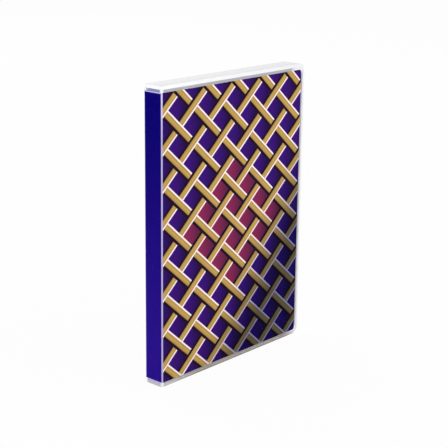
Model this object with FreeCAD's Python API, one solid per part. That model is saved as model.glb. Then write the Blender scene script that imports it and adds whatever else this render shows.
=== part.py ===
import FreeCAD, Part
import math
import os

# A clear folding storage box for game cartridges, standing closed on its bottom edge.
# X runs from the spine to the opening side, Y from the front face to the back face, Z up.
# The origin is at the middle of the bottom. All sizes are in millimetres.

# Overall size, closed, over the outer film
closed_width = 135.0
closed_depth = 15.0
closed_height = 190.0
front_depth = 4.4
opening_corner_radius = 4.5

# Outer film and printed paper, in a shallow recess of the moulding. The film is welded to
# the land below and at the opening side, and open at the top, where the paper slides in.
film_thickness = 0.12
film_weld = 0.9
film_top_gap = 0.2
paper_thickness = 0.2
paper_clearance = 0.03
paper_bottom_clearance = 1.0
paper_top_clearance = 1.8
paper_opening_clearance = 1.4
paper_corner_radius = 2.0
weld_land = 2.1

# Moulded covers
panel_wall = 1.2
rim_wall = 1.4
edge_round = 0.5
smallest_round = 0.2
parting_gap = 0.1
tongue_thickness = 0.6
tongue_height = 1.0
tongue_clearance = 0.15

# Fingernail hollow in the back rim, beside the parting line
thumb_radius = 60.0
thumb_depth = 0.6
thumb_width = 1.5

# Thin bending strips between the spine and the covers
web_thickness = 0.35
web_inner_radius = 0.27
web_flat = 0.9
web_end_margin = 0.1

# Leaflet clips inside the front cover
clip_end_distance = 42.0
clip_side_distance = 9.0
clip_length = 14.0
clip_reach = 6.0
clip_post = 1.4
clip_slot = 0.6
clip_tab = 0.8

# Cartridge tray in the back cover
cartridge_width = 57.0
cartridge_height = 65.0
pocket_clearance = 0.5
pocket_corner_radius = 1.5
pocket_least_space = 2.4
tray_floor = 1.0
tray_deck = 1.2
tray_wall = 1.2
tray_clearance = 0.25
tray_spine_gap = 0.8
tray_edge_round = 0.4
scoop_bite = 3.0
rib_radius = 0.4
rib_end_distance = 16.0

# Catches on the back cover's rims that hold the tray down
catch_length = 8.0
catch_reach = 0.7
catch_thickness = 0.8
catch_clearance = 0.05
catch_setback = 0.45
catch_side_distance = 24.0

# Two places nearer than this count as one
same_place = 0.01

# Planes and radii that follow from the sizes above
half_width = closed_width / 2
half_depth = closed_depth / 2
paper_recess = paper_thickness + 2 * paper_clearance
land_plane = half_depth - film_thickness
panel_outer = land_plane - paper_recess
panel_inner = panel_outer - panel_wall
paper_inner = panel_outer + paper_clearance
paper_outer = paper_inner + paper_thickness
paper_low = weld_land + paper_bottom_clearance
paper_high = closed_height - weld_land - paper_top_clearance
paper_end_x = half_width - weld_land - paper_opening_clearance
film_low = weld_land - film_weld
film_high = closed_height - weld_land - film_top_gap
film_end_x = half_width - film_low
parting_plane = front_depth - half_depth
web_outer_radius = web_inner_radius + web_thickness
paper_inner_radius = web_outer_radius + paper_clearance
paper_outer_radius = paper_inner_radius + paper_thickness
film_inner_radius = web_outer_radius + paper_recess
film_outer_radius = film_inner_radius + film_thickness
bend_x = film_outer_radius - half_width
bend_y = half_depth - film_outer_radius
cover_start = bend_x + web_flat
spine_half_width = bend_y - web_flat
spine_outer = bend_x - web_outer_radius
tray_inset = rim_wall + tray_clearance
tray_start = cover_start + tray_spine_gap
tray_width = half_width - tray_inset - tray_start
tray_height = closed_height - 2 * tray_inset
tray_top = parting_plane + catch_setback + catch_thickness + catch_clearance
pocket_width = cartridge_width + 2 * pocket_clearance
pocket_height = cartridge_height + 2 * pocket_clearance

# Which cover a shape belongs to, as the sign of its Y
FRONT = -1
BACK = 1

ALONG_Y = FreeCAD.Vector(0, 1, 0)
ALONG_Z = FreeCAD.Vector(0, 0, 1)


def point(x, y, z):
    """A place in the part's own frame."""
    return FreeCAD.Vector(x, y, z)


def block(x_ends, y_ends, z_ends):
    """A box between two places on each axis, given in either order."""
    corner = point(min(x_ends), min(y_ends), min(z_ends))
    sizes = [abs(ends[1] - ends[0]) for ends in (x_ends, y_ends, z_ends)]
    return Part.makeBox(sizes[0], sizes[1], sizes[2], corner)


def plate(x_ends, y_ends, z_ends, radius):
    """A box between two places on each axis, with round corners on the opening side."""
    y = min(y_ends)
    start_x, end_x = x_ends
    low, high = z_ends
    diagonal = radius * (1 - math.sqrt(0.5))
    edges = [
        Part.LineSegment(point(start_x, y, low), point(end_x - radius, y, low)),
        Part.Arc(
            point(end_x - radius, y, low),
            point(end_x - diagonal, y, low + diagonal),
            point(end_x, y, low + radius),
        ),
        Part.LineSegment(point(end_x, y, low + radius), point(end_x, y, high - radius)),
        Part.Arc(
            point(end_x, y, high - radius),
            point(end_x - diagonal, y, high - diagonal),
            point(end_x - radius, y, high),
        ),
        Part.LineSegment(point(end_x - radius, y, high), point(start_x, y, high)),
        Part.LineSegment(point(start_x, y, high), point(start_x, y, low)),
    ]
    face = Part.Face(Part.Wire([edge.toShape() for edge in edges]))
    return face.extrude(ALONG_Y * abs(y_ends[1] - y_ends[0]))


def slab(start_x, inset, y_ends):
    """The covers' outline drawn in by inset, as a plate."""
    radius = max(opening_corner_radius - inset, smallest_round)
    return plate((start_x, half_width - inset), y_ends, (inset, closed_height - inset), radius)


def bend(side, inner_radius, outer_radius, flat, z_ends):
    """A quarter-round strip along a hinge line, with a flat of the given length at each side."""
    turn = math.sqrt(0.5)

    def at(x, y):
        return point(bend_x + x, side * (bend_y + y), z_ends[0])

    corners = [
        at(-outer_radius, -flat),
        at(-outer_radius, 0),
        at(0, outer_radius),
        at(flat, outer_radius),
        at(flat, inner_radius),
        at(0, inner_radius),
        at(-inner_radius, 0),
        at(-inner_radius, -flat),
    ]
    arcs = {
        1: at(-outer_radius * turn, outer_radius * turn),
        5: at(-inner_radius * turn, inner_radius * turn),
    }
    edges = []
    for number, start in enumerate(corners):
        end = corners[(number + 1) % len(corners)]
        if number in arcs:
            edges.append(Part.Arc(start, arcs[number], end).toShape())
        elif not start.isEqual(end, same_place):
            edges.append(Part.LineSegment(start, end).toShape())
    face = Part.Face(Part.Wire(edges))
    return face.extrude(ALONG_Z * (z_ends[1] - z_ends[0]))


def rounded_outer_edge(solid, plane):
    """Rounds the edges of a cover's outer face, apart from the one at its hinge."""
    edges = []
    for edge in solid.Edges:
        box = edge.BoundBox
        on_face = abs(box.YMin - plane) < same_place and box.YLength < same_place
        at_hinge = box.XMax < cover_start + same_place
        if on_face and not at_hinge:
            edges.append(edge)
    return solid.makeFillet(edge_round, edges)


def cover_blank(side, rim_plane):
    """A cover's panel with its three rims, and the recess outside that takes the paper."""
    face_plane = side * land_plane
    beyond = side * closed_depth
    blank = rounded_outer_edge(slab(cover_start, 0, (face_plane, rim_plane)), face_plane)
    inside = slab(cover_start - web_flat, rim_wall, (side * panel_inner, -beyond))
    recess = slab(cover_start - web_flat, weld_land, (side * panel_outer, beyond))
    return blank.cut(inside).cut(recess)


def tray_catch(x, z, into):
    """A small catch on a rim's inner face, over the tray's edge. into is its way along Z."""
    top = tray_top - catch_clearance
    return block(
        (x - catch_length / 2, x + catch_length / 2),
        (top - catch_thickness, top),
        (z - into * rim_wall / 2, z + into * catch_reach),
    )


def back_cover():
    """The back cover, with a tongue on its rims, the tray's catches and a fingernail hollow."""
    cover = cover_blank(BACK, parting_plane)
    tongue_plane = parting_plane - tongue_height
    tongue_inset = rim_wall - tongue_thickness
    rim_root = (tongue_plane, parting_plane + tongue_height)
    tongue = slab(cover_start, tongue_inset, rim_root)
    tongue = tongue.cut(slab(cover_start - web_flat, rim_wall, rim_root))
    cover = cover.fuse(tongue)
    for x in (tray_start + catch_side_distance, half_width - tray_inset - catch_side_distance):
        cover = cover.fuse(tray_catch(x, rim_wall, 1))
        cover = cover.fuse(tray_catch(x, closed_height - rim_wall, -1))
    thumb_centre = point(half_width + thumb_radius - thumb_depth, parting_plane, closed_height / 2)
    thumb = Part.makeCylinder(thumb_radius, thumb_width, thumb_centre, ALONG_Y)
    return cover.cut(thumb).removeSplitter()


def leaflet_clip(z):
    """A post on the front panel with a tab that a leaflet slides under."""
    post_x = half_width - rim_wall - clip_side_distance
    z_ends = (z - clip_length / 2, z + clip_length / 2)
    slot_plane = -panel_inner + clip_slot
    tab_plane = slot_plane + clip_tab
    root_plane = -panel_inner - panel_wall / 2
    post = block((post_x, post_x + clip_post), (root_plane, tab_plane), z_ends)
    tab = block((post_x - clip_reach, post_x + clip_post), (slot_plane, tab_plane), z_ends)
    return post.fuse(tab)


def front_cover():
    """The front cover, with a rebate for the back cover's tongue and two leaflet clips."""
    rim_plane = parting_plane - parting_gap
    cover = cover_blank(FRONT, rim_plane)
    rebate_inset = rim_wall - tongue_thickness - tongue_clearance
    rebate_plane = parting_plane - tongue_height - tongue_clearance
    cover = cover.cut(slab(cover_start - web_flat, rebate_inset, (rebate_plane, parting_plane)))
    for z in (clip_end_distance, closed_height - clip_end_distance):
        cover = cover.fuse(leaflet_clip(z))
    return cover.removeSplitter()


def spine_panel():
    """The spine, with a raised land at each end that the film is welded to."""
    land_x = -half_width + film_thickness
    inner_x = spine_outer + panel_wall
    y_ends = (-spine_half_width, spine_half_width)
    panel = block((spine_outer, inner_x), y_ends, (0, closed_height))
    for z_ends in ((0, weld_land), (closed_height - weld_land, closed_height)):
        panel = panel.fuse(block((land_x, inner_x), y_ends, z_ends))
    return panel.removeSplitter()


def hinge_web(side):
    """The thin strip of the moulding that bends between the spine and a cover."""
    z_ends = (web_end_margin, closed_height - web_end_margin)
    return bend(side, web_inner_radius, web_outer_radius, web_flat, z_ends)


def cover_film(side):
    """Clear film over a cover, with its bend round to the spine."""
    y_ends = (side * land_plane, side * half_depth)
    pane = plate((bend_x, film_end_x), y_ends, (film_low, film_high), opening_corner_radius - film_low)
    turn = bend(side, film_inner_radius, film_outer_radius, 0, (film_low, film_high))
    return pane.fuse(turn).removeSplitter()


def cover_paper(side):
    """The printed paper on a cover, with its fold round to the spine."""
    y_ends = (side * paper_inner, side * paper_outer)
    sheet = plate((bend_x, paper_end_x), y_ends, (paper_low, paper_high), paper_corner_radius)
    turn = bend(side, paper_inner_radius, paper_outer_radius, 0, (paper_low, paper_high))
    return sheet.fuse(turn).removeSplitter()


def spine_strip(inner_radius, outer_radius, z_ends):
    """A flat strip over the spine, from one bend to the other."""
    return block((bend_x - outer_radius, bend_x - inner_radius), (-bend_y, bend_y), z_ends)


def spaced(start, length, pocket):
    """The low ends of as many pockets as fit in a length, evenly spaced, and the space between them."""
    count = int((length - pocket_least_space) // (pocket + pocket_least_space))
    space = (length - count * pocket) / (count + 1)
    return [start + space + number * (pocket + space) for number in range(count)], space


pocket_columns, column_space = spaced(tray_start, tray_width, pocket_width)
pocket_rows, row_space = spaced(tray_inset, tray_height, pocket_height)


def pocket_wells(grow, y_ends):
    """All pockets and finger scoops as one shape, each side grown outwards by grow."""
    depth = abs(y_ends[1] - y_ends[0])
    scoop_radius = row_space / 2 + scoop_bite + grow
    wells = []
    for x in pocket_columns:
        for z in pocket_rows:
            well = block(
                (x - grow, x + pocket_width + grow),
                y_ends,
                (z - grow, z + pocket_height + grow),
            )
            upright = [edge for edge in well.Edges if abs(edge.BoundBox.YLength - depth) < same_place]
            wells.append(well.makeFillet(pocket_corner_radius + grow, upright))
        for z in pocket_rows[1:]:
            centre = point(x + pocket_width / 2, min(y_ends), z - row_space / 2)
            wells.append(Part.makeCylinder(scoop_radius, depth, centre, ALONG_Y))
    return wells[0].multiFuse(wells[1:])


def grip_ribs():
    """Small round ribs on the side walls of the pockets, which hold a cartridge."""
    length = panel_inner - tray_floor - tray_top - tray_deck
    ribs = []
    for x in pocket_columns:
        for z in pocket_rows:
            for wall_x in (x, x + pocket_width):
                for rib_z in (z + rib_end_distance, z + pocket_height - rib_end_distance):
                    foot = point(wall_x, tray_top + tray_deck, rib_z)
                    ribs.append(Part.makeCylinder(rib_radius, length, foot, ALONG_Y))
    return ribs


def cartridge_tray():
    """A thin-walled tray: a deck with sunk pockets, a skirt round it and hollow underneath."""
    floor_plane = panel_inner - tray_floor
    under_deck = tray_top + tray_deck
    body = slab(tray_start, tray_inset, (tray_top, panel_inner))
    hollow = slab(tray_start + tray_wall, tray_inset + tray_wall, (under_deck, panel_inner))
    hollow = hollow.cut(pocket_wells(tray_wall, (under_deck, panel_inner)))
    tray = body.cut(hollow).cut(pocket_wells(0, (tray_top, floor_plane)))
    rims = [
        edge
        for edge in tray.Edges
        if abs(edge.BoundBox.YMax - tray_top) < same_place
    ]
    tray = tray.makeFillet(tray_edge_round, rims)
    return tray.multiFuse(grip_ribs()).removeSplitter()


parts = {
    "back_cover": back_cover(),
    "cartridge_tray": cartridge_tray(),
    "back_insert": cover_paper(BACK),
    "back_film": cover_film(BACK),
    "spine_panel": spine_panel(),
    "back_hinge": hinge_web(BACK),
    "front_hinge": hinge_web(FRONT),
    "spine_insert": spine_strip(paper_inner_radius, paper_outer_radius, (paper_low, paper_high)),
    "spine_film": spine_strip(film_inner_radius, film_outer_radius, (film_low, film_high)),
    "front_cover": front_cover(),
    "front_insert": cover_paper(FRONT),
    "front_film": cover_film(FRONT),
}

os.makedirs("parts", exist_ok=True)
for name, shape in parts.items():
    shape.exportStep("parts/" + name + ".step")
    print(name, len(shape.Solids), "solid", round(shape.Volume, 2), "mm3", shape.isValid())
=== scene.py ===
"""A clear folding box for game cartridges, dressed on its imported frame.

The box stands closed on its bottom edge. A clear moulding with bending strips at its spine carries a
printed paper wrap under an outer film, and a tray inside. X runs from the spine to the opening side,
Y from the front to the back and Z up. All sizes are in metres.
"""

import logging
import math
from dataclasses import dataclass, field
from enum import Enum
from typing import Any

import bpy
import numpy as np
from mathutils import Matrix, Vector


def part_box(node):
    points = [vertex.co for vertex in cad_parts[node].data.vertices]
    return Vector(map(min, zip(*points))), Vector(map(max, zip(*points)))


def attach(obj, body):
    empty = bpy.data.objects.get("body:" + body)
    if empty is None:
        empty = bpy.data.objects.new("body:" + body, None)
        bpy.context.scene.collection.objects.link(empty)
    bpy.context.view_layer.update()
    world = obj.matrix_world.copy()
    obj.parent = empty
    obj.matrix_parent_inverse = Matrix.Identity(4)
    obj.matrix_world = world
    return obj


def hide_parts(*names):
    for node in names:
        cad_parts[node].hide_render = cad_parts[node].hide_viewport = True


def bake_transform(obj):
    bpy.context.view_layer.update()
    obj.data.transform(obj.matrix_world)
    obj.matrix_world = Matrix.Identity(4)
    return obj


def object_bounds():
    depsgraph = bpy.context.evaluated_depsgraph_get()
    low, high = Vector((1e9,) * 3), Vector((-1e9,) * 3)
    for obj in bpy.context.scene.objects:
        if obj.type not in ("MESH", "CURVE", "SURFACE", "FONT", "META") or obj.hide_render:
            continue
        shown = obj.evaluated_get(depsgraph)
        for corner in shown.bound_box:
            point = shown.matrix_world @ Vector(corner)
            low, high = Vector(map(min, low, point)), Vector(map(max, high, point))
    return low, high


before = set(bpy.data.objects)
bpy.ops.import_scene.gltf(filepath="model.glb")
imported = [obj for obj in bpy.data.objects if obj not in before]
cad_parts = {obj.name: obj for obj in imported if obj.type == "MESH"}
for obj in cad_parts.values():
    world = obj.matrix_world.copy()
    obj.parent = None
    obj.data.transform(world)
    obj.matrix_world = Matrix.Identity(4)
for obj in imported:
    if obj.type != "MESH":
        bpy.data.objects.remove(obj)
cad_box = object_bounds()
log = logging.getLogger("cartridge_box")

MM = 0.001
QUARTER_TURN = math.pi / 2
SHEET_MAP = "sheet_place"

# What soft noise comes to on average
NOISE_MIDDLE = 0.5

# A Mix node's two colour inputs and its colour output
MIX_FIRST = 6
MIX_SECOND = 7
MIX_RESULT = 2

# The standard screen curve
SCREEN_TOP = 255
SCREEN_KNEE = 0.04045
SCREEN_SLOPE = 12.92
SCREEN_LIFT = 0.055
SCREEN_POWER = 2.4

Colour = tuple[float, float, float, float]
WHITE: Colour = (1.0, 1.0, 1.0, 1.0)


def screen(red: float, green: float, blue: float) -> Colour:
    """A colour as a screen shows it, turned into linear light by the standard screen curve.

    Up to the knee a level is divided by the slope. Above it, the level plus the lift is divided by 1
    plus the lift and raised to the power.

    Args:
        red, green, blue: the screen's levels, from 0 to 255.

    Returns:
        The linear colour, with an alpha of 1.
    """
    level = np.array([red, green, blue]) / SCREEN_TOP
    curve = ((level + SCREEN_LIFT) / (1 + SCREEN_LIFT)) ** SCREEN_POWER
    linear = np.where(level <= SCREEN_KNEE, level / SCREEN_SLOPE, curve)
    return (*linear.tolist(), 1.0)


PAPER_WHITE = screen(240, 239, 236)


class Side(Enum):
    """Which cover a sheet lies on, as the sign of its Y."""

    FRONT = -1
    BACK = 1

    @property
    def body(self) -> str:
        """The name of the cover's body."""
        return self.name.lower()


class Anchor(Enum):
    """What a finish's pattern is fixed to."""

    PIECE = "the coordinates of a rigid piece"
    SHEET = "the map along a sheet that bends"


class Signal:
    """A socket in a node graph, with arithmetic that adds Math nodes."""

    def __init__(self, graph: "Graph", socket: bpy.types.NodeSocket) -> None:
        """Wraps one output socket of a graph."""
        self.graph = graph
        self.socket = socket

    def other(self, name: str) -> "Signal":
        """Another output of the same node, by name."""
        return Signal(self.graph, self.socket.node.outputs[name])

    def __add__(self, value: "Signal | float") -> "Signal":
        """This plus a value."""
        return self.graph.maths("ADD", self, value)

    __radd__ = __add__

    def __sub__(self, value: "Signal | float") -> "Signal":
        """This less a value."""
        return self.graph.maths("SUBTRACT", self, value)

    def __rsub__(self, value: "Signal | float") -> "Signal":
        """A value less this."""
        return self.graph.maths("SUBTRACT", value, self)

    def __mul__(self, value: "Signal | float") -> "Signal":
        """This times a value, which joins two masks where both hold."""
        return self.graph.maths("MULTIPLY", self, value)

    __rmul__ = __mul__

    def __truediv__(self, value: "Signal | float") -> "Signal":
        """This divided by a value."""
        return self.graph.maths("DIVIDE", self, value)

    def __rtruediv__(self, value: "Signal | float") -> "Signal":
        """A value divided by this."""
        return self.graph.maths("DIVIDE", value, self)

    def __or__(self, value: "Signal | float") -> "Signal":
        """The larger of the two, which joins two masks where either holds."""
        return self.graph.maths("MAXIMUM", self, value)

    __ror__ = __or__

    def __and__(self, value: "Signal | float") -> "Signal":
        """The smaller of the two."""
        return self.graph.maths("MINIMUM", self, value)

    __rand__ = __and__

    def __abs__(self) -> "Signal":
        """This without its sign."""
        return self.graph.maths("ABSOLUTE", self)

    def __lt__(self, value: "Signal | float") -> "Signal":
        """1 where this is below a value, else 0."""
        return self.graph.maths("LESS_THAN", self, value)

    def __gt__(self, value: "Signal | float") -> "Signal":
        """1 where this is above a value, else 0."""
        return self.graph.maths("GREATER_THAN", self, value)


class Graph:
    """The node graph of one material or world."""

    def __init__(self, owner: bpy.types.Material | bpy.types.World) -> None:
        """Starts the owner's graph with no nodes in it.

        Args:
            owner: the material or world that the graph shades.
        """
        owner.use_nodes = True
        self.owner = owner
        self.tree = owner.node_tree
        self.tree.nodes.clear()

    def add(
        self,
        kind: str,
        settings: dict[str, Any] | None = None,
        inputs: dict[str | int, Any] | None = None,
        output: str | int = 0,
    ) -> Signal:
        """Adds any node.

        Args:
            kind: the node's type.
            settings: the node's own properties, which are set first.
            inputs: a value or a signal for each named or numbered socket.
            output: which output socket to return.

        Returns:
            The signal of that output.
        """
        node = self.tree.nodes.new(kind)
        for name, value in (settings or {}).items():
            setattr(node, name, value)
        for name, value in (inputs or {}).items():
            if isinstance(value, Signal):
                self.tree.links.new(value.socket, node.inputs[name])
            else:
                node.inputs[name].default_value = value
        return Signal(self, node.outputs[output] if len(node.outputs) else None)

    def maths(self, operation: str, *values: Signal | float) -> Signal:
        """One Math node on the values."""
        return self.add("ShaderNodeMath", {"operation": operation}, dict(enumerate(values)))

    def mix(
        self,
        share: Signal | float,
        first: Signal | Colour,
        second: Signal | Colour,
        kind: str = "MIX",
    ) -> Signal:
        """Mixes two colours.

        Args:
            share: how much of the second colour shows.
            first, second: the colours.
            kind: how the second one goes onto the first.

        Returns:
            The mixed colour.
        """
        settings = {"data_type": "RGBA", "blend_type": kind}
        inputs = {0: share, MIX_FIRST: first, MIX_SECOND: second}
        return self.add("ShaderNodeMix", settings, inputs, output=MIX_RESULT)

    def place(self, anchor: Anchor) -> Signal:
        """Where on the piece a point is, in metres."""
        if anchor is Anchor.SHEET:
            return self.add("ShaderNodeUVMap", {"uv_map": SHEET_MAP})
        return self.add("ShaderNodeTexCoord", output="Object")

    def spot(self, place: Signal, anchor: Anchor) -> tuple[Signal, Signal]:
        """How far across and how far up a place is."""
        split = self.add("ShaderNodeSeparateXYZ", inputs={0: place})
        return split, split.other("Y" if anchor is Anchor.SHEET else "Z")

    def noise(self, place: Signal, size: float, detail: float = 2.0) -> Signal:
        """Soft noise from 0 to 1 whose patches are about the given size across."""
        return self.add(
            "ShaderNodeTexNoise", inputs={"Vector": place, "Scale": 1 / size, "Detail": detail}
        )

    def step(self, value: Signal, low: float, high: float) -> Signal:
        """A smooth step.

        Args:
            value: what the step follows.
            low, high: where the step is 0 and where it is 1.

        Returns:
            The step, from 0 to 1.
        """
        settings = {"interpolation_type": "SMOOTHSTEP"}
        inputs = {"Value": value, "From Min": low, "From Max": high}
        return self.add("ShaderNodeMapRange", settings, inputs)

    def bump(self, height: Signal, distance: float = 1.0) -> Signal:
        """A normal for a surface that stands up by the distance, in metres, where height is 1."""
        return self.add("ShaderNodeBump", inputs={"Distance": distance, "Height": height})

    def principled(self, **inputs: Any) -> Signal:
        """A Principled shader, whose sockets are named with _ for a space."""
        named = {name.replace("_", " "): value for name, value in inputs.items()}
        return self.add("ShaderNodeBsdfPrincipled", inputs=named)

    def layer(self, share: Signal | float, first: Signal, second: Signal) -> Signal:
        """Mixes two shaders, with share as the second one's part."""
        return self.add("ShaderNodeMixShader", inputs={0: share, 1: first, 2: second})

    def seen(self) -> Signal:
        """1 for a ray from the camera, also by way of a mirror or glass, else 0."""
        path = self.add("ShaderNodeLightPath", output="Is Camera Ray")
        return path | path.other("Is Glossy Ray") | path.other("Is Transmission Ray")

    def close(self, shader: Signal) -> Any:
        """Makes the shader the owner's surface.

        Args:
            shader: the finished shader.

        Returns:
            The material or world that the graph belongs to.
        """
        world = isinstance(self.owner, bpy.types.World)
        kind = "ShaderNodeOutputWorld" if world else "ShaderNodeOutputMaterial"
        self.add(kind, inputs={"Surface": shader})
        return self.owner


@dataclass(frozen=True)
class Outline:
    """The outline of a flat piece, with round corners on the opening side and no end on the spine's."""

    low: float
    high: float
    end: float = 1.0
    corner: float = 0.0

    def inside(self, graph: Graph, across: Signal, up: Signal) -> Signal:
        """How far inside the outline a point lies.

        Both ways, the overshoot past the start of the round corners is taken. Past it both ways, the
        distance is the corner radius less the length of the two overshoots, and elsewhere it is the
        corner radius less the larger overshoot.

        Args:
            graph: the material's graph.
            across, up: the point.

        Returns:
            The distance, which is negative outside.
        """
        past_end = across - (self.end - self.corner)
        half = (self.high - self.low) / 2
        past_row = abs(up - (self.low + half)) - (half - self.corner)
        out_end = past_end | 0.0
        out_row = past_row | 0.0
        length = graph.maths("SQRT", out_end * out_end + out_row * out_row)
        return self.corner - length - ((past_end | past_row) & 0.0)


@dataclass(frozen=True)
class ClearMoulding:
    """Clear moulded plastic: milky at its rims, its free corners and its foot, where shade is painted.

    A painted lamp reflection makes it whitest near the spine. Where it has a seam, a painted shade
    line lies along the plane where the covers meet. Its skin is the axis that its outer faces lie
    across, and how far out along it they start. The foot's painted shade and tint, and the top's
    tint, are on them alone, or on all faces if it has no skin.
    """

    name: str
    anchor: Anchor
    outline: Outline
    seam: float | None = None
    seam_width: float = 0.8 * MM
    skin: tuple[str, float] | None = None
    skin_blur: float = 0.1 * MM
    # Painted shade line along the seam where the covers meet.
    seam_shade: Colour = screen(206, 205, 210)
    rim: float = 2.1 * MM
    rim_blur: float = 0.15 * MM
    foot_height: float = 4.2 * MM
    foot_cover: float = 0.4
    corner_width: tuple[float, float] = (9 * MM, 15 * MM)
    corner_height: tuple[float, float] = (4 * MM, 8 * MM)
    tint: Colour = screen(252, 252, 254)
    # Painted reflection: the plastic is whitest near the spine and takes this greyer tint towards the
    # opening side.
    far_shade_tint: Colour = screen(244, 244, 248)
    far_shade_fade: float = 120 * MM
    foot_tint: Colour = screen(250, 250, 253)
    top_tint: Colour = screen(250, 250, 253)
    top_height: tuple[float, float] = (4 * MM, 5 * MM)
    # Painted shade along the bottom edge, where the box stands on the floor.
    painted_foot_shade: Colour = screen(138, 122, 104)
    foot_shade_height: float = 3.2 * MM
    foot_shade_drift: float = 1.2 * MM
    foot_shade_patch: float = 6 * MM
    foot_shade_fade: float = 14 * MM
    spine_share: float = 0.55
    spine_fade: float = 40 * MM
    panel_cover: float = 0.36
    rim_cover: float = 0.92
    bending: float = 1.49
    roughness: float = 0.12
    wave_size: float = 18 * MM
    wave_height: float = 0.008 * MM

    def outside(self, graph: Graph, across: Signal) -> Signal | float:
        """Where the outer faces are.

        Args:
            graph: the material's graph.
            across: the point's place, whose other axes are read too.

        Returns:
            1 on the outer faces and 0 elsewhere, or 1 everywhere without a skin.
        """
        if self.skin is None:
            return 1.0
        axis, start = self.skin
        return graph.step(abs(across.other(axis)), start - self.skin_blur, start)

    def foot_shading(self, graph: Graph, place: Signal, across: Signal, up: Signal) -> Signal:
        """How much painted shade the bottom edge gets.

        Patchy noise sets its height. It fades out near a cover's opening side, and to a share near
        the cover's spine side.

        Args:
            graph: the material's graph.
            place: the point, for the noise.
            across, up: the point's distance across and up.

        Returns:
            The share of painted shade, from 0 to 1.
        """
        end = self.outline.end
        # Painted shade, darkest at the bottom edge, with a patchy top.
        patch = graph.noise(place, self.foot_shade_patch) * self.foot_shade_drift
        height = 1.0 - graph.step(up - self.outline.low - patch, 0.0, self.foot_shade_height)
        inner = self.spine_share + graph.step(across + end, 0.0, self.spine_fade) * (1.0 - self.spine_share)
        along = inner * (1.0 - graph.step(across, end - self.foot_shade_fade, end))
        return height * along * self.outside(graph, across)

    def foot(self, graph: Graph, up: Signal) -> Signal:
        """Where the foot is: 1 up to the rim's width, then less and less up to the foot's height."""
        return 1.0 - graph.step(up - self.outline.low, self.rim, self.foot_height)

    def clear(self, graph: Graph, across: Signal, up: Signal) -> Signal:
        """How clear the plastic is.

        Args:
            graph: the material's graph.
            across, up: the point.

        Returns:
            0 at the rims and the free corners, less than 1 at the foot, and 1 elsewhere.
        """
        outline = self.outline
        inside = outline.inside(graph, across, up)
        panel = graph.step(inside, self.rim - self.rim_blur, self.rim + self.rim_blur)
        beside = 1.0 - graph.step(outline.end - across, *self.corner_width)
        ends = 1.0 - graph.step((up - outline.low) & (outline.high - up), *self.corner_height)
        return panel * (1.0 - self.foot(graph, up) * self.foot_cover) * (1.0 - beside * ends)

    def own_colour(self, graph: Graph, across: Signal, up: Signal, clear: Signal) -> Signal:
        """The plastic's colour before the painted shade along the seam and at the foot.

        Args:
            graph: the material's graph.
            across, up: the point.
            clear: how clear the plastic is there.

        Returns:
            A colour with a painted reflection, whitest near the spine, then tinted at the foot and the top.
        """
        # Painted reflection, whitest near the spine and greyer towards the opening side.
        far = graph.step(self.outline.end - across, self.far_shade_fade, 0.0)
        top = 1.0 - graph.step(self.outline.high - up, *self.top_height)
        outside = self.outside(graph, across)
        footed = graph.mix(
            self.foot(graph, up) * outside, graph.mix(far, self.tint, self.far_shade_tint), self.foot_tint
        )
        return graph.mix(clear * top * outside, footed, self.top_tint)

    def make(self) -> bpy.types.Material:
        """Makes the material, which covers little where it is clear and has painted shade at its foot.

        Returns:
            The material.
        """
        graph = Graph(bpy.data.materials.new(self.name))
        place = graph.place(self.anchor)
        across, up = graph.spot(place, self.anchor)
        clear = self.clear(graph, across, up)
        colour = self.own_colour(graph, across, up, clear)
        # Painted shade line along the seam where the covers meet.
        if self.seam is not None:
            off = abs(across.other("Y") - self.seam)
            colour = graph.mix(graph.step(off, self.seam_width / 2, 0.0), colour, self.seam_shade)
        plastic = graph.principled(
            # The painted shade at the foot goes over the plastic's colour.
            Base_Color=graph.mix(self.foot_shading(graph, place, across, up), colour, self.painted_foot_shade),
            Roughness=self.roughness,
            IOR=self.bending,
            Alpha=self.rim_cover + clear * (self.panel_cover - self.rim_cover),
            Normal=graph.bump(graph.noise(place, self.wave_size), self.wave_height),
        )
        return graph.close(plastic)


@dataclass(frozen=True)
class TrayPlastic:
    """Plain grey moulded plastic with a fine even grain."""

    name: str = "grey_tray_plastic"
    tint: Colour = screen(162, 162, 168)
    cloud: Colour = screen(152, 152, 159)
    cloud_size: float = 22 * MM
    smooth: float = 0.38
    rough: float = 0.48
    grain_size: float = 0.35 * MM
    grain_height: float = 0.006 * MM

    def make(self) -> bpy.types.Material:
        """Makes the material: noise moves its tint and roughness, and a fine grain its surface.

        Returns:
            The material.
        """
        graph = Graph(bpy.data.materials.new(self.name))
        place = graph.place(Anchor.PIECE)
        patch = graph.noise(place, self.cloud_size)
        plastic = graph.principled(
            Base_Color=graph.mix(patch, self.tint, self.cloud),
            Roughness=self.smooth + patch * (self.rough - self.smooth),
            Normal=graph.bump(graph.noise(place, self.grain_size), self.grain_height),
        )
        return graph.close(plastic)


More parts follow.
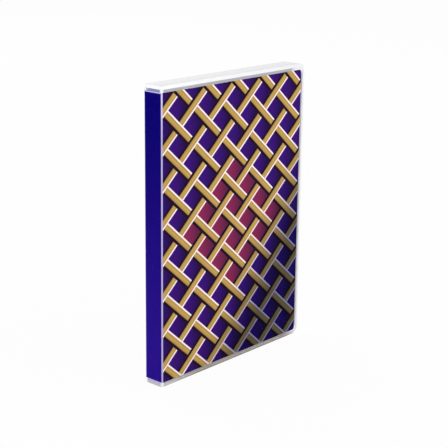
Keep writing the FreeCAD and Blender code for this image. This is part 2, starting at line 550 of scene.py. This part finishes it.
@dataclass(frozen=True)
class WrapFilm:
    """Thin clear film: it mirrors a little, ripples slightly and is hazy where it is welded down.

    It is welded along the bottom edge and at the opening side of a cover. The weld starts at
    weld_start across, so a strip on the spine, which lies at a negative X, is loose.
    """

    name: str
    anchor: Anchor
    outline: Outline
    weld: float = 0.9 * MM
    weld_start: tuple[float, float] = (2 * MM, 6 * MM)
    weld_pitch: float = 0.4 * MM
    weld_haze: float = 0.22
    weld_height: float = 0.01 * MM
    bending: float = 1.03
    tint: Colour = screen(238, 236, 246)
    roughness: float = 0.2
    haze_roughness: float = 0.5
    ripple_size: float = 16 * MM
    ripple_detail: float = 0.0
    ripple_height: float = 0.03 * MM

    def make(self) -> bpy.types.Material:
        """Makes the material: clear, mirrored by angle, with a ribbed haze along the welded edges.

        Returns:
            The material.
        """
        graph = Graph(bpy.data.materials.new(self.name))
        place = graph.place(self.anchor)
        across, up = graph.spot(place, self.anchor)
        inside = self.outline.inside(graph, across, up)
        weld = (inside < self.weld) * graph.step(across, *self.weld_start)
        ribs = graph.maths("PINGPONG", inside, self.weld_pitch / 2) / (self.weld_pitch / 2)
        height = graph.noise(place, self.ripple_size, self.ripple_detail) * self.ripple_height
        normal = graph.bump(height + ribs * weld * self.weld_height)
        mirror = graph.add("ShaderNodeFresnel", inputs={"IOR": self.bending, "Normal": normal})
        shine = graph.add(
            "ShaderNodeBsdfGlossy", inputs={"Roughness": self.roughness, "Normal": normal}
        )
        haze = graph.principled(Base_Color=self.tint, Roughness=self.haze_roughness, Normal=normal)
        clear = graph.layer(mirror, graph.add("ShaderNodeBsdfTransparent"), shine)
        return graph.close(graph.layer(weld * self.weld_haze, clear, haze))


@dataclass(frozen=True)
class FilmUnderside:
    """The film's underside and edges, where it is wholly clear."""

    name: str = "film_underside"

    def make(self) -> bpy.types.Material:
        """The material: clear, because all of the film's shine is on its outer face."""
        graph = Graph(bpy.data.materials.new(self.name))
        return graph.close(graph.add("ShaderNodeBsdfTransparent"))


@dataclass(frozen=True)
class BarePaper:
    """Unprinted paper: warm white with fine fibres."""

    name: str = "bare_paper"
    tint: Colour = PAPER_WHITE
    fibre: Colour = screen(226, 225, 223)
    fibre_size: float = 0.6 * MM
    fibre_detail: float = 4.0
    fibre_height: float = 0.01 * MM
    roughness: float = 0.75
    shine: float = 0.2

    def make(self) -> bpy.types.Material:
        """Makes the material: fine noise sets the fibres' tint and height.

        Returns:
            The material.
        """
        graph = Graph(bpy.data.materials.new(self.name))
        fibres = graph.noise(graph.place(Anchor.SHEET), self.fibre_size, self.fibre_detail)
        paper = graph.principled(
            Base_Color=graph.mix(fibres, self.tint, self.fibre),
            Roughness=self.roughness,
            Specular_IOR_Level=self.shine,
            Normal=graph.bump(fibres, self.fibre_height),
        )
        return graph.close(paper)


@dataclass(frozen=True)
class SpinePrint:
    """The spine's print: plain blue violet, a little lighter towards the bottom, with a pale trim line.

    The strip's inner half, past the plane at back, is bare paper.
    """

    low: float
    high: float
    back: float
    name: str = "spine_print"
    top: Colour = screen(8, 0, 110)
    bottom: Colour = screen(42, 16, 140)
    trim: Colour = screen(208, 202, 252)
    bare: Colour = PAPER_WHITE
    trim_width: float = 0.5 * MM
    ink_size: float = 1.4 * MM
    ink_depth: float = 0.12
    roughness: float = 0.55
    gloss_swing: float = 0.1
    shine: float = 0.02

    def ground(self, graph: Graph, up: Signal) -> Signal:
        """The print's colour, which changes smoothly up the spine."""
        return graph.mix(graph.step(up, self.low, self.high), self.bottom, self.top)

    def make(self) -> bpy.types.Material:
        """Makes the material: the ground colour in faintly uneven ink, with the trim line along the top.

        Returns:
            The material.
        """
        graph = Graph(bpy.data.materials.new(self.name))
        place = graph.place(Anchor.PIECE)
        ink = graph.noise(place, self.ink_size)
        across, up = graph.spot(place, Anchor.PIECE)
        inked = graph.mix(ink * self.ink_depth, self.ground(graph, up), self.top)
        printed = graph.mix(up > self.high - self.trim_width, inked, self.trim)
        paper = graph.principled(
            Base_Color=graph.mix(across > self.back, printed, self.bare),
            Roughness=self.roughness + (ink - NOISE_MIDDLE) * self.gloss_swing,
            Specular_IOR_Level=self.shine,
        )
        return graph.close(paper)


@dataclass(frozen=True)
class TrellisPrint:
    """A printed trellis: gold bars woven over and under, with violet and magenta lozenges between."""

    name: str
    spine: SpinePrint
    fold: float
    middle: tuple[float, float]
    half_size: tuple[float, float]
    cell_width: float = 26 * MM
    cell_height: float = 23 * MM
    bar_width: float = 3.6 * MM
    light_edge: float = 1.1 * MM
    dark_edge: float = 1.9 * MM
    gold: Colour = screen(202, 168, 84)
    warm_gold: Colour = screen(198, 154, 66)
    gold_edge: Colour = screen(168, 138, 92)
    gold_patch: float = 7 * MM
    light: Colour = screen(252, 236, 232)
    dark: Colour = screen(36, 16, 34)
    violet: Colour = screen(60, 20, 122)
    deep_violet: Colour = screen(34, 14, 70)
    magenta: Colour = screen(138, 40, 86)
    deep_magenta: Colour = screen(80, 34, 66)
    cell_shade: tuple[float, float] = (0.25, 0.85)
    dusk: Colour = (0.2, 0.24, 0.42, 1.0)
    dusk_start: float = 0.3
    dusk_end: float = 1.2
    medal_cells: int = 4
    # Whether the fold gets a painted highlight, its colours, fade and start, and the jitter of the print's
    # edge.
    painted_fold_highlight: bool = True
    fold_highlight: Colour = screen(182, 172, 212)
    fold_highlight_top: Colour = screen(214, 204, 250)
    fold_highlight_fade: float = 30 * MM
    fold_highlight_start: float = 0.2 * MM
    print_overlap: float = 0.1 * MM
    fold_edge_jitter: float = 0.25 * MM
    ink_size: float = 1.1 * MM
    roughness: float = 0.55
    gloss_swing: float = 0.1
    shine: float = 0.02

    @property
    def bar_spacing(self) -> float:
        """The distance from one bar to the next, square to the bars."""
        return self.cell_width * self.cell_height / math.hypot(self.cell_width, self.cell_height)

    def bars(self, graph: Graph, line: Signal, gold: Signal) -> tuple[Signal, Signal]:
        """One family of parallel bars, which lie where line is a whole number.

        Args:
            graph: the material's graph.
            line: counts the bars square to their length.
            gold: the bars' colour along their middle.

        Returns:
            The bars' colour, duller to both sides, with their light and dark edges, and a mask of
            where they lie.
        """
        half = self.bar_width / 2
        off = (line - graph.maths("ROUND", line)) * self.bar_spacing
        rounded = graph.mix(graph.step(abs(off), 0.0, half), gold, self.gold_edge)
        edged = graph.mix(off > half, graph.mix(off < -half, rounded, self.dark), self.light)
        mask = (off < half + self.light_edge) * (off > -half - self.dark_edge)
        return edged, mask

    def cells(self, graph: Graph, rising: Signal, falling: Signal) -> Signal:
        """The lozenges' colour, deeper towards their right corner.

        A block of medal_cells by medal_cells lozenges round the middle of the sheet is magenta.

        Args:
            graph: the material's graph.
            rising, falling: count the two families of bars.

        Returns:
            The colour between the bars.
        """
        ahead = (graph.maths("FRACT", rising) + graph.maths("FRACT", falling)) / 2
        depth = graph.step(ahead, *self.cell_shade)
        half = self.medal_cells / 2
        medal = (abs(rising) < half) * (abs(falling) < half)
        violet = graph.mix(depth, self.violet, self.deep_violet)
        return graph.mix(medal, violet, graph.mix(depth, self.magenta, self.deep_magenta))

    def picture(self, graph: Graph, across: Signal, up: Signal, place: Signal) -> Signal:
        """The trellis as one colour.

        With x and z from the middle of the sheet, x over the cell's width plus or minus z over its
        height count the two families of bars. Where the sum of the nearest bars' numbers is even the
        rising bars lie on top, and elsewhere the falling ones. It darkens towards one lower corner.

        Args:
            graph: the material's graph.
            across, up: the point.
            place: the point, for the noise.

        Returns:
            The colour of the print.
        """
        x = (across - self.middle[0]) / self.cell_width
        z = (up - self.middle[1]) / self.cell_height
        rising = x + z
        falling = x - z
        gold = graph.mix(graph.noise(place, self.gold_patch), self.gold, self.warm_gold)
        first, first_mask = self.bars(graph, rising, gold)
        second, second_mask = self.bars(graph, falling, gold)
        cells = self.cells(graph, rising, falling)
        first_on_top = graph.mix(first_mask, graph.mix(second_mask, cells, second), first)
        second_on_top = graph.mix(second_mask, graph.mix(first_mask, cells, first), second)
        numbers = graph.maths("ROUND", rising) + graph.maths("ROUND", falling)
        odd = graph.maths("FLOORED_MODULO", numbers, 2.0)
        woven = graph.mix(odd, first_on_top, second_on_top)
        slope = (across - self.middle[0]) / self.half_size[0] - (up - self.middle[1]) / self.half_size[1]
        shade = graph.step(slope, self.dusk_start, self.dusk_end)
        return graph.mix(shade, woven, self.dusk, "MULTIPLY")

    def make(self) -> bpy.types.Material:
        """Makes the material: the trellis, and round the fold the spine's colour.

        If the fold's highlight is asked for, the fold carries a painted highlight, palest at the top.

        Returns:
            The material.
        """
        graph = Graph(bpy.data.materials.new(self.name))
        place = graph.place(Anchor.SHEET)
        across, up = graph.spot(place, Anchor.SHEET)
        ink = graph.noise(place, self.ink_size)
        bend = self.spine.ground(graph, up)
        # A painted highlight on the fold, palest at the top, up to where the print starts.
        if self.painted_fold_highlight:
            below_top = self.middle[1] + self.half_size[1] - up
            fold_highlight = graph.mix(graph.step(below_top, self.fold_highlight_fade, 0.0), self.fold_highlight, self.fold_highlight_top)
            bend = graph.mix(across > self.fold_highlight_start, bend, fold_highlight)
        printed = across > self.fold - self.print_overlap + (ink - NOISE_MIDDLE) * self.fold_edge_jitter
        paper = graph.principled(
            Base_Color=graph.mix(printed, bend, self.picture(graph, across, up, place)),
            Roughness=self.roughness + (ink - NOISE_MIDDLE) * self.gloss_swing,
            Specular_IOR_Level=self.shine,
        )
        return graph.close(paper)


def turn_steps(count: int) -> np.ndarray:
    """Even steps over a quarter turn."""
    return np.linspace(0, QUARTER_TURN, count)


def quads(grid: np.ndarray) -> np.ndarray:
    """The four corner numbers of every cell of a grid of vertex numbers, in order round the cell."""
    corners = (grid[:-1, :-1], grid[1:, :-1], grid[1:, 1:], grid[:-1, 1:])
    return np.stack(corners, axis=-1).reshape(-1, 4)


def closed_sheet_faces(columns: int, rows: int) -> tuple[np.ndarray, np.ndarray]:
    """The faces of a closed sheet of two equal grids, the outer one numbered first.

    The inner grid's cells run the other way round. Each edge of the sheet is a wall: a grid two
    vertices wide, from the outer grid's border to the inner one's.

    Args:
        columns, rows: how many vertices each grid has both ways.

    Returns:
        The faces' corners, and a mask of those in the outer grid.
    """
    outer = np.arange(columns * rows).reshape(columns, rows)
    inner = outer + columns * rows
    borders = [
        np.stack((inner[:, 0], outer[:, 0]), axis=-1),
        np.stack((outer[:, -1], inner[:, -1]), axis=-1),
        np.stack((inner[0], outer[0])),
        np.stack((outer[-1], inner[-1])),
    ]
    front = quads(outer)
    parts = [front, quads(inner)[:, ::-1], *(quads(border) for border in borders)]
    faces = np.concatenate(parts)
    return faces, np.arange(len(faces)) < len(front)


@dataclass
class ThinSheet:
    """A thin closed sheet that stands for one of the frame's nodes."""

    name: str
    node: str

    def close(
        self,
        outer: np.ndarray,
        inner: np.ndarray,
        along: np.ndarray,
        finishes: tuple[bpy.types.Material, ...],
        turned: bool = False,
    ) -> bpy.types.Object:
        """Closes two faces into one piece, mapped by the length along it and by the height.

        The faces are smooth, and every edge of the walls between them is sharp.

        Args:
            outer, inner: the two faces, as equal grids of points.
            along: how far along the sheet each column of the grids lies.
            finishes: the outer face's material, and that of the other faces if it differs.
            turned: whether the grids run the other way round, seen from outside.

        Returns:
            The piece, in its node's place.
        """
        faces, outside = closed_sheet_faces(*outer.shape[:2])
        if turned:
            faces = faces[:, ::-1]
        mesh = bpy.data.meshes.new(self.name)
        mesh.from_pydata(np.concatenate((outer.reshape(-1, 3), inner.reshape(-1, 3))), [], faces)
        mesh.polygons.foreach_set("use_smooth", np.ones(len(faces), bool))
        sides = np.empty(faces.size, np.int32)
        mesh.loops.foreach_get("edge_index", sides)
        sharp = np.zeros(len(mesh.edges), bool)
        sharp[sides.reshape(faces.shape)[2 * np.count_nonzero(outside):]] = True
        mesh.edges.foreach_set("use_edge_sharp", sharp)
        for finish in finishes:
            mesh.materials.append(finish)
        mesh.polygons.foreach_set("material_index", np.where(outside, 0, len(finishes) - 1))
        place = np.stack(np.broadcast_arrays(along[:, None], outer[..., 2]), axis=-1).reshape(-1, 2)
        place = np.concatenate((place, place))[faces.ravel()]
        mesh.uv_layers.new(name=SHEET_MAP).data.foreach_set("uv", place.astype(np.float32).ravel())
        mesh.validate()
        mesh.update()
        piece = bpy.data.objects.new(self.name, mesh)
        bpy.context.scene.collection.objects.link(piece)
        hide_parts(self.node)
        log.info("%s: %d faces in place of %s", self.name, len(faces), self.node)
        return piece


@dataclass
class SpineStrip(ThinSheet):
    """A flat strip along the spine, whose inner face lies a gap above what carries it."""

    gap: float
    rows: int = 24

    def build(self, *finishes: bpy.types.Material) -> bpy.types.Object:
        """Makes the strip, which rides on the spine.

        The outer face is at the node's lowest X, on an even grid over its Y and Z, and the inner face
        is at the node's highest X less the gap.

        Args:
            finishes: the outer face's material, and that of the other faces if it differs.

        Returns:
            The strip's object.
        """
        low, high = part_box(self.node)
        y, z = np.meshgrid((high.y, low.y), np.linspace(low.z, high.z, self.rows), indexing="ij")
        outer = np.stack((np.full_like(y, low.x), y, z), axis=-1)
        inner = np.stack((np.full_like(y, high.x - self.gap), y, z), axis=-1)
        piece = self.close(outer, inner, high.y - y[:, 0], finishes)
        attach(piece, "spine")
        return piece


@dataclass
class FoldedSheet(ThinSheet):
    """A thin closed sheet on a cover that turns round the corner to the spine."""

    side: Side
    centre: tuple[float, float]
    thickness: float
    corner: float = 0.0
    spine_steps: int = 3
    bend_steps: int = 16
    corner_steps: int = 14
    flat_steps: int = 48
    rows: int = 64
    low: Vector = field(init=False)
    high: Vector = field(init=False)
    radius: float = field(init=False)
    length: float = field(init=False)
    spine_flat: float = field(init=False)

    def __post_init__(self) -> None:
        """Takes the sheet's reach from the node that it stands for."""
        self.low, self.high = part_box(self.node)
        self.radius = self.centre[0] - self.low.x
        self.length = self.high.x - self.centre[0]
        inner_y = self.high.y if self.side is Side.FRONT else self.low.y
        self.spine_flat = abs(self.centre[1] - inner_y)

    @property
    def fold(self) -> float:
        """The length of the outer face from its start on the spine to the end of the bend."""
        return self.spine_flat + self.radius * QUARTER_TURN

    @property
    def middle_height(self) -> float:
        """The height of the sheet's middle."""
        return (self.low.z + self.high.z) / 2

    @property
    def half_height(self) -> float:
        """Half of the sheet's height."""
        return (self.high.z - self.low.z) / 2

    def stations(self) -> tuple[np.ndarray, np.ndarray]:
        """The turn and the straight run at each column, from the spine to the opening side.

        The run is negative on the spine, nothing round the bend and positive on the cover. Near the
        opening side it follows the sine of even steps, so that the round corners are smooth.

        Returns:
            The turns and the runs.
        """
        on_spine = np.empty(0)
        if self.spine_flat > 0:
            on_spine = np.linspace(-self.spine_flat, 0, self.spine_steps)[:-1]
        turn = turn_steps(self.bend_steps)
        flat = np.linspace(0, self.length - self.corner, self.flat_steps)[1:]
        if self.corner:
            end = self.length - self.corner + self.corner * np.sin(turn_steps(self.corner_steps))
            flat = np.concatenate((flat, end[1:]))
        turns = np.concatenate((np.zeros_like(on_spine), turn, np.full_like(flat, QUARTER_TURN)))
        runs = np.concatenate((on_spine, np.zeros_like(turn), flat))
        return turns, runs

    def surface(self, depth: float) -> np.ndarray:
        """A face of the sheet, at a depth under its outer face, as a grid of points.

        A point is the bend's centre, plus the radius less the depth along the direction that the turn
        faces, plus the run along the direction at right angles to it. The height goes evenly from
        bottom to top, less what the round corners take: the radius less the root of the radius squared
        less the overshoot squared.

        Args:
            depth: how far the face lies under the outer one.

        Returns:
            The grid, with a column for each station.
        """
        turns, runs = self.stations()
        sign = self.side.value
        reach = self.radius - depth
        x = self.centre[0] - reach * np.cos(turns) + runs * np.sin(turns)
        y = self.centre[1] + sign * (reach * np.sin(turns) + runs * np.cos(turns))
        over = np.clip(runs - (self.length - self.corner), 0, self.corner)
        half = self.half_height - self.corner + np.sqrt(self.corner**2 - over**2)
        z = self.middle_height + half[:, None] * np.linspace(-1, 1, self.rows)
        return np.stack(np.broadcast_arrays(x[:, None], y[:, None], z), axis=-1)

    def build(self, *finishes: bpy.types.Material) -> bpy.types.Object:
        """Makes the sheet in its node's place.

        Args:
            finishes: the outer face's material, and that of the other faces if it differs.

        Returns:
            The sheet's object.
        """
        turns, runs = self.stations()
        along = self.spine_flat + self.radius * turns + runs
        faces = (self.surface(0.0), self.surface(self.thickness))
        piece = self.close(*faces, along, finishes, turned=self.side is Side.BACK)
        bend_start = (self.centre[0] - self.radius, self.centre[1], self.middle_height)
        bend_end = (
            self.centre[0],
            self.centre[1] + self.side.value * self.radius,
            self.middle_height,
        )
        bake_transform(piece)
        return piece


def dress(node: str, finish: bpy.types.Material) -> None:
    """Gives one of the frame's own nodes a finish."""
    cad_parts[node].material_slots[0].material = finish
    log.info("%s: dressed in %s", node, finish.name)


@dataclass
class Spine:
    """Where the two bends at the spine lie, which every sheet shares."""

    film_node: str = "front_film"

    def centre(self, side: Side) -> tuple[float, float]:
        """The middle of a bend: the film's corner, moved in by the film's outer radius.

        Args:
            side: the cover that the bend leads to.

        Returns:
            Its X and Y.
        """
        low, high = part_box(self.film_node)
        radius = high.y - low.y
        return low.x + radius, side.value * (-low.y - radius)


@dataclass
class PaperWrap:
    """The printed paper: one sheet on each cover with its fold, and a strip on the spine."""

    spine: Spine
    corner: float

    def build(self) -> None:
        """Makes the two folded sheets and dresses the spine's strip."""
        strip_low, strip_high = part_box("spine_insert")
        bare = BarePaper().make()
        spine_print = SpinePrint(strip_low.z, strip_high.z, back=(strip_low.x + strip_high.x) / 2)
        for side in Side:
            sheet = FoldedSheet(
                name=f"{side.body}_printed_paper",
                node=f"{side.body}_insert",
                side=side,
                centre=self.spine.centre(side),
                thickness=strip_high.x - strip_low.x,
                corner=self.corner,
            )
            picture = TrellisPrint(
                name=f"{side.body}_trellis_print",
                spine=spine_print,
                fold=sheet.fold,
                middle=(sheet.fold + sheet.length / 2, sheet.middle_height),
                half_size=(sheet.length / 2, sheet.half_height),
                # Only the front's fold gets the painted highlight.
                painted_fold_highlight=side is Side.FRONT,
            )
            piece = sheet.build(picture.make(), bare)
        dress("spine_insert", spine_print.make())


@dataclass
class OuterFilm:
    """The clear film over the paper: one sheet on each cover with its bend, and a strip on the spine.

    Its outline for welding reaches past its top edge, which is open. Its underside lies a small gap
    above the moulding.
    """

    spine: Spine
    corner: float
    open_top: float = 20 * MM
    gap: float = 0.02 * MM

    def build(self) -> None:
        """Makes the two bent sheets and the spine's strip."""
        underside = FilmUnderside().make()
        strip_low, strip_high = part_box("spine_film")
        for side in Side:
            sheet = FoldedSheet(
                name=f"{side.body}_outer_film",
                node=f"{side.body}_film",
                side=side,
                centre=self.spine.centre(side),
                thickness=strip_high.x - strip_low.x - self.gap,
                corner=self.corner,
            )
            welded = Outline(
                low=sheet.low.z,
                high=sheet.high.z + self.open_top,
                end=sheet.fold + sheet.length,
                corner=self.corner,
            )
            film = WrapFilm(f"{side.body}_wrap_film", Anchor.SHEET, welded)
            piece = sheet.build(film.make(), underside)
        welded = Outline(low=strip_low.z, high=strip_high.z + self.open_top)
        film = WrapFilm("spine_wrap_film", Anchor.PIECE, welded)
        strip = SpineStrip("spine_outer_film", "spine_film", self.gap)
        strip.build(film.make(), underside)


@dataclass
class Moulding:
    """The clear moulding: two covers and a spine, with a thin strip that bends at each side of it.

    The bending strips are whitened, as such plastic is where it bends.
    """

    spine: Spine
    corner: float
    web_thickness: float = 0.35 * MM
    web_flat_steps: int = 4
    skin_depth: float = 0.5 * MM
    # How high the painted shade at the covers' bottom edge reaches.
    cover_foot_shade_height: float = 4.6 * MM
    spine_tint: Colour = screen(166, 172, 236)
    spine_foot: Colour = screen(216, 204, 250)
    spine_foot_cover: float = 0.8
    # The painted shade at the spine's bottom edge.
    spine_foot_shade: Colour = screen(196, 191, 200)
    spine_cover: float = 0.4
    spine_rim_cover: float = 0.98
    # The painted shade at the bending strips' bottom edge, kept pale.
    strip_foot_shade: Colour = screen(240, 237, 248)
    whitening: float = 0.85

    def build(self) -> None:
        """Makes the two bending strips and dresses the covers and the spine."""
        low, high = cad_box
        cover = Outline(low.z, high.z, end=high.x, corner=self.corner)
        upright = Outline(low.z, high.z)
        _, front_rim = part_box("front_cover")
        covers = ClearMoulding(
            "clear_moulding",
            Anchor.PIECE,
            cover,
            seam=front_rim.y,
            skin=("Y", high.y - self.skin_depth),
            foot_shade_height=self.cover_foot_shade_height,
        ).make()
        for node in ("front_cover", "back_cover"):
            dress(node, covers)
        spine = ClearMoulding(
            "clear_spine",
            Anchor.PIECE,
            upright,
            skin=("X", high.x - self.skin_depth),
            top_tint=self.spine_tint,
            foot_tint=self.spine_foot,
            foot_cover=self.spine_foot_cover,
            painted_foot_shade=self.spine_foot_shade,
            panel_cover=self.spine_cover,
            rim_cover=self.spine_rim_cover,
        )
        dress("spine_panel", spine.make())
        bending = ClearMoulding(
            "clear_bending_strip",
            Anchor.SHEET,
            upright,
            painted_foot_shade=self.strip_foot_shade,
            panel_cover=self.whitening,
        ).make()
        for side in Side:
            strip = FoldedSheet(
                name=f"{side.body}_bending_strip",
                node=f"{side.body}_hinge",
                side=side,
                centre=self.spine.centre(side),
                thickness=self.web_thickness,
                flat_steps=self.web_flat_steps,
            )
            strip.build(bending)


@dataclass
class CartridgeTray:
    """The tray inside the back cover."""

    node: str = "cartridge_tray"

    def build(self) -> None:
        """Dresses the tray."""
        dress(self.node, TrayPlastic().make())


@dataclass
class SoftBox:
    """A large soft lamp that faces the box."""

    name: str
    place: tuple[float, float, float]
    size: float
    power: float

    def build(self, aim: Vector) -> None:
        """Adds the lamp.

        Args:
            aim: the point that the lamp is turned towards.
        """
        lamp = bpy.data.lights.new(self.name, "AREA")
        lamp.size = self.size
        lamp.energy = self.power
        stand = bpy.data.objects.new(self.name, lamp)
        stand.location = self.place
        stand.rotation_euler = (aim - Vector(self.place)).to_track_quat("-Z", "Y").to_euler()
        bpy.context.scene.collection.objects.link(stand)


@dataclass
class Viewpoint:
    """The camera: where it stands, which way it looks and its lens."""

    place: tuple[float, float, float] = (-0.57391, -0.50786, 0.30944)
    yaw: float = 0.84394
    pitch: float = 0.27725
    roll: float = 0.0121
    lens_mm: float = 98.65

    def build(self) -> None:
        """Adds the camera, whose axes follow from its yaw, its pitch down and its roll."""
        level = math.cos(self.pitch)
        ahead = Vector((math.sin(self.yaw) * level, math.cos(self.yaw) * level, -math.sin(self.pitch)))
        right = Vector((math.cos(self.yaw), -math.sin(self.yaw), 0.0))
        up = right.cross(ahead)
        tilted_right = right * math.cos(self.roll) + up * math.sin(self.roll)
        tilted_up = up * math.cos(self.roll) - right * math.sin(self.roll)
        turn = Matrix((tilted_right, tilted_up, -ahead)).transposed().to_4x4()
        lens = bpy.data.cameras.new("viewpoint")
        lens.lens = self.lens_mm
        camera = bpy.data.objects.new("viewpoint", lens)
        camera.matrix_world = Matrix.Translation(self.place) @ turn
        bpy.context.scene.collection.objects.link(camera)
        bpy.context.scene.camera = camera


@dataclass
class Studio:
    """A plain white floor, soft lamps, an even white surround and the camera."""

    floor_reach: float = 6.0
    floor_drop: float = 0.2 * MM
    floor_tint: Colour = (0.95, 0.95, 0.95, 1.0)
    floor_glow: float = 0.94
    surround_level: float = 0.7
    lamps: tuple[SoftBox, ...] = (
        SoftBox("key_lamp", place=(-1.6, -1.05, 0.95), size=1.4, power=14.0),
        SoftBox("fill_lamp", place=(0.9, -1.5, 0.7), size=1.2, power=6.0),
        SoftBox("rear_lamp", place=(0.6, 1.6, 1.0), size=1.4, power=4.0),
    )

    def floor(self) -> None:
        """A wide floor just under the box. What is seen of it glows, apart from a share that is lit."""
        graph = Graph(bpy.data.materials.new("white_floor"))
        lit = graph.add("ShaderNodeBsdfDiffuse", inputs={"Color": self.floor_tint})
        glow = graph.add("ShaderNodeEmission", inputs={"Color": WHITE})
        paint = graph.close(graph.layer(graph.seen() * self.floor_glow, lit, glow))
        reach = np.array([-self.floor_reach, self.floor_reach])
        corners = np.stack(np.meshgrid(reach, reach, -self.floor_drop), axis=-1).reshape(-1, 3)
        mesh = bpy.data.meshes.new("floor")
        mesh.from_pydata(corners, [], quads(np.arange(4).reshape(2, 2))[:, ::-1])
        mesh.materials.append(paint)
        floor = bpy.data.objects.new("floor", mesh)
        bpy.context.scene.collection.objects.link(floor)

    def surround(self) -> None:
        """An even white world: white where it is seen, and a plain level of light elsewhere."""
        graph = Graph(bpy.data.worlds.new("surround"))
        strength = self.surround_level + graph.seen() * (1.0 - self.surround_level)
        sky = graph.add("ShaderNodeBackground", inputs={"Color": WHITE, "Strength": strength})
        bpy.context.scene.world = graph.close(sky)

    def build(self) -> None:
        """Sets up the floor, the light and the camera."""
        low, high = cad_box
        aim = (low + high) / 2
        self.floor()
        self.surround()
        for lamp in self.lamps:
            lamp.build(aim)
        Viewpoint().build()
        bpy.context.scene.view_settings.view_transform = "Standard"


def main() -> None:
    """Builds the box's sub-assemblies and the studio round it."""
    logging.basicConfig(level=logging.INFO, format="%(name)s: %(message)s")
    opening_corner = 4.5 * MM
    paper_corner = 2.0 * MM
    cover_low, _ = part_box("front_cover")
    film_low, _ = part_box("front_film")
    spine = Spine()
    Moulding(spine, corner=opening_corner).build()
    PaperWrap(spine, corner=paper_corner).build()
    OuterFilm(spine, corner=opening_corner - (film_low.z - cover_low.z)).build()
    CartridgeTray().build()
    Studio().build()


if __name__ == "__main__":
    main()
